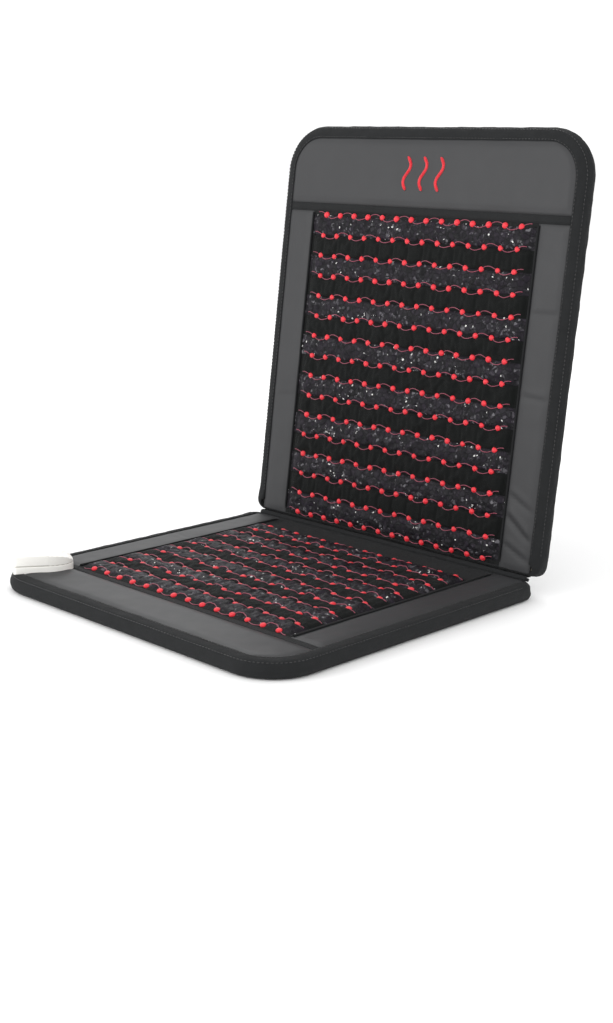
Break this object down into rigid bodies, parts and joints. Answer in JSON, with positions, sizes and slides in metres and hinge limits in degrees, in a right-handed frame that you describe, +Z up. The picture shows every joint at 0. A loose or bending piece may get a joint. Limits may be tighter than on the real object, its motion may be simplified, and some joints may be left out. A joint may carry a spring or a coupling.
{
  "type": "folding heated chair mat",
  "caption": "Folding quilted heat mat for a chair: padded seat and back panels with crystal-filled bands, smooth borders, a corner power inlet and buckled rear straps.",
  "frame": {"origin": "centre of the seat panel's underside", "axes": "+X to the right seen from the front, +Y from the seat's front edge to the fold, +Z up"},
  "size_m": [0.476, 0.543, 0.531],
  "materials": {
    "panel_fabric": "matt woven backing",
    "foam": "open-cell foam",
    "felt": "pressed felt",
    "heating_wire": "silicone sheath",
    "field_fabric": "matt",
    "crystal_mesh": "fine mesh over dark stones",
    "crystal": "crushed stone",
    "padded_fabric": "smooth, matt",
    "red_thread": "satin stitch",
    "smooth_cover": "soft sheen",
    "tape": "matt woven tape",
    "binding": "matt woven binding",
    "housing": "satin ivory",
    "seal": "soft",
    "black_plastic": "fine grain",
    "contact": "plated",
    "circuit_board": "satin",
    "screw": "plain",
    "lead": "satin",
    "webbing": "elastic webbing",
    "cutout": "satin"
  },
  "bodies": {
    "seat": {"seat_backing": "panel_fabric", "seat_foam": "foam", "seat_heater_felt": "felt", "seat_heating_wire": "heating_wire", "seat_field_base": "field_fabric", "seat_crystal_sleeves": "crystal_mesh", "seat_crystal_fill": "crystal", "seat_padded_bands": "padded_fabric", "seat_embroidery": "red_thread", "seat_left_border": "smooth_cover", "seat_right_border": "smooth_cover", "seat_front_border": "smooth_cover", "seat_seam_tape": "tape", "seat_rear_strip": "tape", "seat_binding": "binding", "seat_thermal_cutout": "cutout", "connector_base": "housing", "connector_cover": "housing", "connector_gasket": "seal", "connector_socket": "black_plastic", "connector_pins": "contact", "connector_board": "circuit_board", "connector_screws": "screw", "seat_lead": "lead", "fold_piping": "binding", "fold_strip": "tape", "fold_lead": "lead"},
    "back": {"back_backing": "panel_fabric", "back_foam": "foam", "back_heater_felt": "felt", "back_heating_wire": "heating_wire", "back_field_base": "field_fabric", "back_crystal_sleeves": "crystal_mesh", "back_crystal_fill": "crystal", "back_padded_bands": "padded_fabric", "back_embroidery": "red_thread", "back_left_border": "smooth_cover", "back_right_border": "smooth_cover", "back_header": "smooth_cover", "back_seam_tape": "tape", "back_bottom_strip": "tape", "back_binding": "binding", "back_emblem": "red_thread", "back_thermal_cutout": "cutout", "back_lead": "lead", "strap_patches": "webbing", "upper_strap_left": "webbing", "upper_strap_right": "webbing", "lower_strap_left": "webbing", "lower_strap_right": "webbing", "upper_buckle_socket": "black_plastic", "lower_buckle_socket": "black_plastic", "upper_buckle_plug": "black_plastic", "lower_buckle_plug": "black_plastic"},
    "lower_prong_high": {"lower_prong_high": "black_plastic"},
    "lower_prong_low": {"lower_prong_low": "black_plastic"},
    "lower_strap_adjuster": {"lower_strap_adjuster": "black_plastic"},
    "upper_prong_high": {"upper_prong_high": "black_plastic"},
    "upper_prong_low": {"upper_prong_low": "black_plastic"},
    "upper_strap_adjuster": {"upper_strap_adjuster": "black_plastic"}
  },
  "joints": [
    {"name": "fold", "type": "hinge", "parent": "seat", "child": "back", "pos_m": [0, 0.216, 0.019], "axis": [1, 0, 0], "range_deg": [-83, 83], "deforming": ["fold_strip", "fold_lead"]},
    {"name": "upper_high_squeeze", "type": "hinge", "parent": "back", "child": "upper_prong_high", "pos_m": [0.0052, 0.32429, 0.46603], "axis": [0, -0.9925, 0.1219], "range_deg": [0, 13], "stiffness_Nm_per_rad": 0.6, "springref_deg": -5.73},
    {"name": "upper_low_squeeze", "type": "hinge", "parent": "back", "child": "upper_prong_low", "pos_m": [0.0052, 0.32114, 0.44043], "axis": [0, -0.9925, 0.1219], "range_deg": [-13, 0], "stiffness_Nm_per_rad": 0.6, "springref_deg": 5.73},
    {"name": "upper_adjuster_slide", "type": "slide", "parent": "back", "child": "upper_strap_adjuster", "axis": [1, 0, 0], "range_m": [-0.02, 0.03]},
    {"name": "lower_high_squeeze", "type": "hinge", "parent": "back", "child": "lower_prong_high", "pos_m": [0.0052, 0.28407, 0.1385], "axis": [0, -0.9925, 0.1219], "range_deg": [0, 13], "stiffness_Nm_per_rad": 0.6, "springref_deg": -5.73},
    {"name": "lower_low_squeeze", "type": "hinge", "parent": "back", "child": "lower_prong_low", "pos_m": [0.0052, 0.28093, 0.11289], "axis": [0, -0.9925, 0.1219], "range_deg": [-13, 0], "stiffness_Nm_per_rad": 0.6, "springref_deg": 5.73},
    {"name": "lower_adjuster_slide", "type": "slide", "parent": "back", "child": "lower_strap_adjuster", "axis": [1, 0, 0], "range_m": [-0.02, 0.03]}
  ]
}
